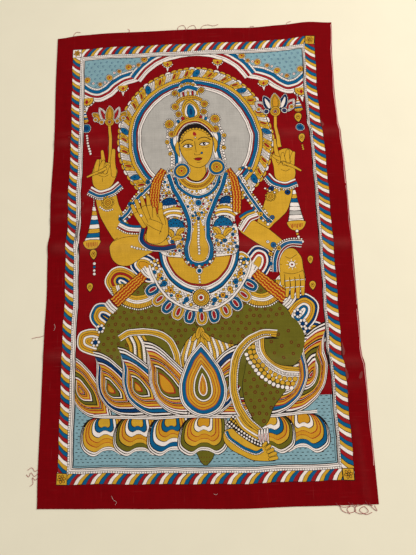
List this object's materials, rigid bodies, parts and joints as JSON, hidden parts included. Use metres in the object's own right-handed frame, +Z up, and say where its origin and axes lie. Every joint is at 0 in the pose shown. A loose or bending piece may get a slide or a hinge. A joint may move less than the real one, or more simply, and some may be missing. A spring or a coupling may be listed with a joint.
{
  "type": "kalamkari panel",
  "caption": "Rectangular painted cotton wall panel lying flat, with soft storage creases, uneven cut edges and a hand-painted figure on a lotus inside a striped frame.",
  "frame": {"origin": "under the middle of the cloth's outline, on the surface it lies on", "axes": "+Z up out of the painted face, +Y towards the top of the picture along the cloth's length, +X across it to the right"},
  "size_m": [0.5717, 0.9202, 0.0044],
  "materials": {
    "dyed_cotton": "matt plain-woven cotton, madder-red ground with painted dyes"
  },
  "bodies": {
    "root": {"cloth_panel": "dyed_cotton"}
  },
  "joints": []
}
